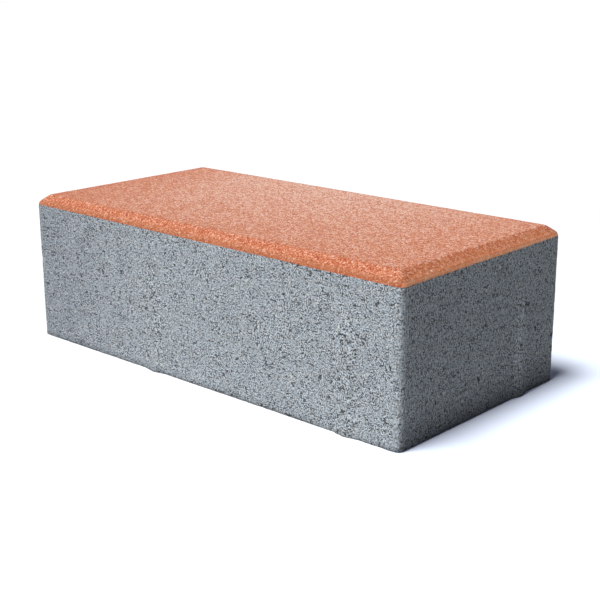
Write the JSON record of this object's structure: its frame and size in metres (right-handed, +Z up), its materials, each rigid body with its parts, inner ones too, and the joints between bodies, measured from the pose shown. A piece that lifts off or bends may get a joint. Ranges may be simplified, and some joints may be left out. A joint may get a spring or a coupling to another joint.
{
  "type": "paving stone",
  "caption": "Rectangular pressed-concrete paving stone: grey base concrete under an orange pigmented wearing layer, chamfered all round the top, with upright spacer nibs on its sides.",
  "frame": {"origin": "centre of the flat bed face, on the surface that the stone stands on", "axes": "+X along the stone, +Y across it, +Z up from the bed face to the wearing face"},
  "size_m": [0.2, 0.1, 0.0625],
  "materials": {
    "grey_concrete": "matte",
    "orange_concrete": "matte"
  },
  "bodies": {
    "root": {"base_layer": "grey_concrete", "face_layer": "orange_concrete"}
  },
  "joints": []
}
